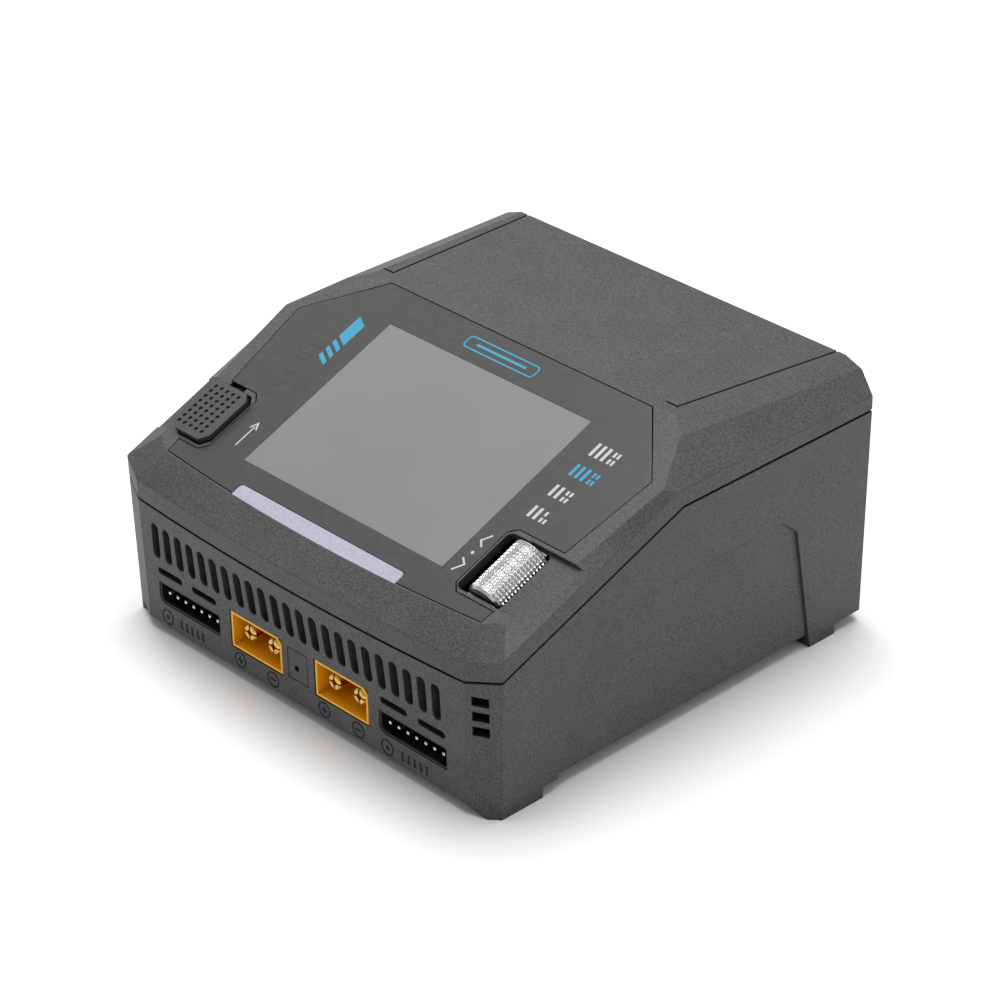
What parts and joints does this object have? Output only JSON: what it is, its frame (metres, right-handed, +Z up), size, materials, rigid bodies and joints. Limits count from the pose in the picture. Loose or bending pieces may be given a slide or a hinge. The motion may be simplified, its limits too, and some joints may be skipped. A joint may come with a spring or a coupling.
{
  "type": "balance battery charger",
  "caption": "Desktop balance battery charger: sloping display panel with press roller and exit button, front battery sockets and balance headers, vented case.",
  "frame": {"origin": "on the ground under the middle of the case", "axes": "+X to the right across the front, +Y to the back, +Z up"},
  "size_m": [0.1104, 0.1064, 0.0597],
  "materials": {
    "case_plastic": "fine spark-eroded texture",
    "lens_plastic": "satin black acrylic",
    "window": "grey tinted pane",
    "display": "unlit display",
    "light_diffuser": "milky diffuser",
    "button_plastic": "fine texture",
    "roller_metal": "knurled anodised",
    "steel": "plated steel",
    "screw_steel": "blackened steel",
    "orange_nylon": "moulded nylon",
    "gold_contact": "gold-plated copper",
    "pin_metal": "tin-plated",
    "black_nylon": "moulded nylon",
    "circuit_board": "solder mask",
    "chip": "moulded epoxy",
    "flat_cable": "polyimide film",
    "led_strip": "white solder mask",
    "ferrite": "sintered ferrite",
    "copper_wire": "enamelled copper",
    "heat_sink_aluminium": "extruded",
    "capacitor_sleeve": "shrink sleeve",
    "tape": "polyester tape",
    "fuse_glass": "ceramic tube"
  },
  "bodies": {
    "case": {"lower_case": "case_plastic", "upper_cover": "case_plastic", "display_lens": "lens_plastic", "screen_pane": "window", "lcd_panel": "display", "lcd_frame": "steel", "lcd_ribbon": "flat_cable", "status_light_bar": "light_diffuser", "light_bar_leds": "led_strip", "control_board": "circuit_board", "control_board_screws": "screw_steel", "microcontroller": "chip", "buzzer": "black_nylon", "exit_switch": "black_nylon", "roller_guide": "black_nylon", "roller_switch": "black_nylon", "power_board": "circuit_board", "output_socket_left": "orange_nylon", "output_socket_right": "orange_nylon", "output_contacts": "gold_contact", "balance_header_left": "black_nylon", "balance_header_right": "black_nylon", "balance_pins": "pin_metal", "port_plug": "case_plastic", "signal_port": "black_nylon", "power_inductors": "ferrite", "bulk_capacitors": "capacitor_sleeve", "heat_sink": "heat_sink_aluminium", "power_transistors": "chip", "ac_board": "circuit_board", "transformer_core": "ferrite", "transformer_coil": "tape", "mains_capacitor": "capacitor_sleeve", "rectifier": "chip", "emi_choke_core": "ferrite", "emi_choke_winding": "copper_wire", "fuse": "fuse_glass", "ac_inlet_housing": "black_nylon", "ac_inlet_pins": "pin_metal", "dc_input_socket": "orange_nylon", "dc_input_contacts": "gold_contact", "usb_port": "steel", "fan_frame": "black_nylon", "fan_screws": "screw_steel", "board_screws": "screw_steel", "case_screws": "screw_steel"},
    "exit_button": {"exit_button": "button_plastic"},
    "roller_cradle": {"roller_carrier": "steel", "encoder_body": "black_nylon"},
    "roller": {"roller": "roller_metal", "roller_axle": "steel"},
    "fan_rotor": {"fan_rotor": "black_nylon"}
  },
  "joints": [
    {"name": "exit_press", "type": "hinge", "parent": "case", "child": "exit_button", "pos_m": [-0.04525, -0.02529, 0.04426], "axis": [1, 0, 0], "range_deg": [0, 3], "stiffness_Nm_per_rad": 0.3},
    {"name": "roller_press", "type": "slide", "parent": "case", "child": "roller_cradle", "axis": [0, 0.3646, -0.9312], "range_m": [0, 0.0005], "stiffness_N_per_m": 3000},
    {"name": "roller_turn", "type": "hinge", "parent": "roller_cradle", "child": "roller", "pos_m": [0.0407, -0.03284, 0.04023], "axis": [0, 0.9312, 0.3646], "continuous": true},
    {"name": "fan_spin", "type": "hinge", "parent": "case", "child": "fan_rotor", "pos_m": [0.0225, 0.0465, 0.0266], "axis": [0, 1, 0], "continuous": true}
  ]
}
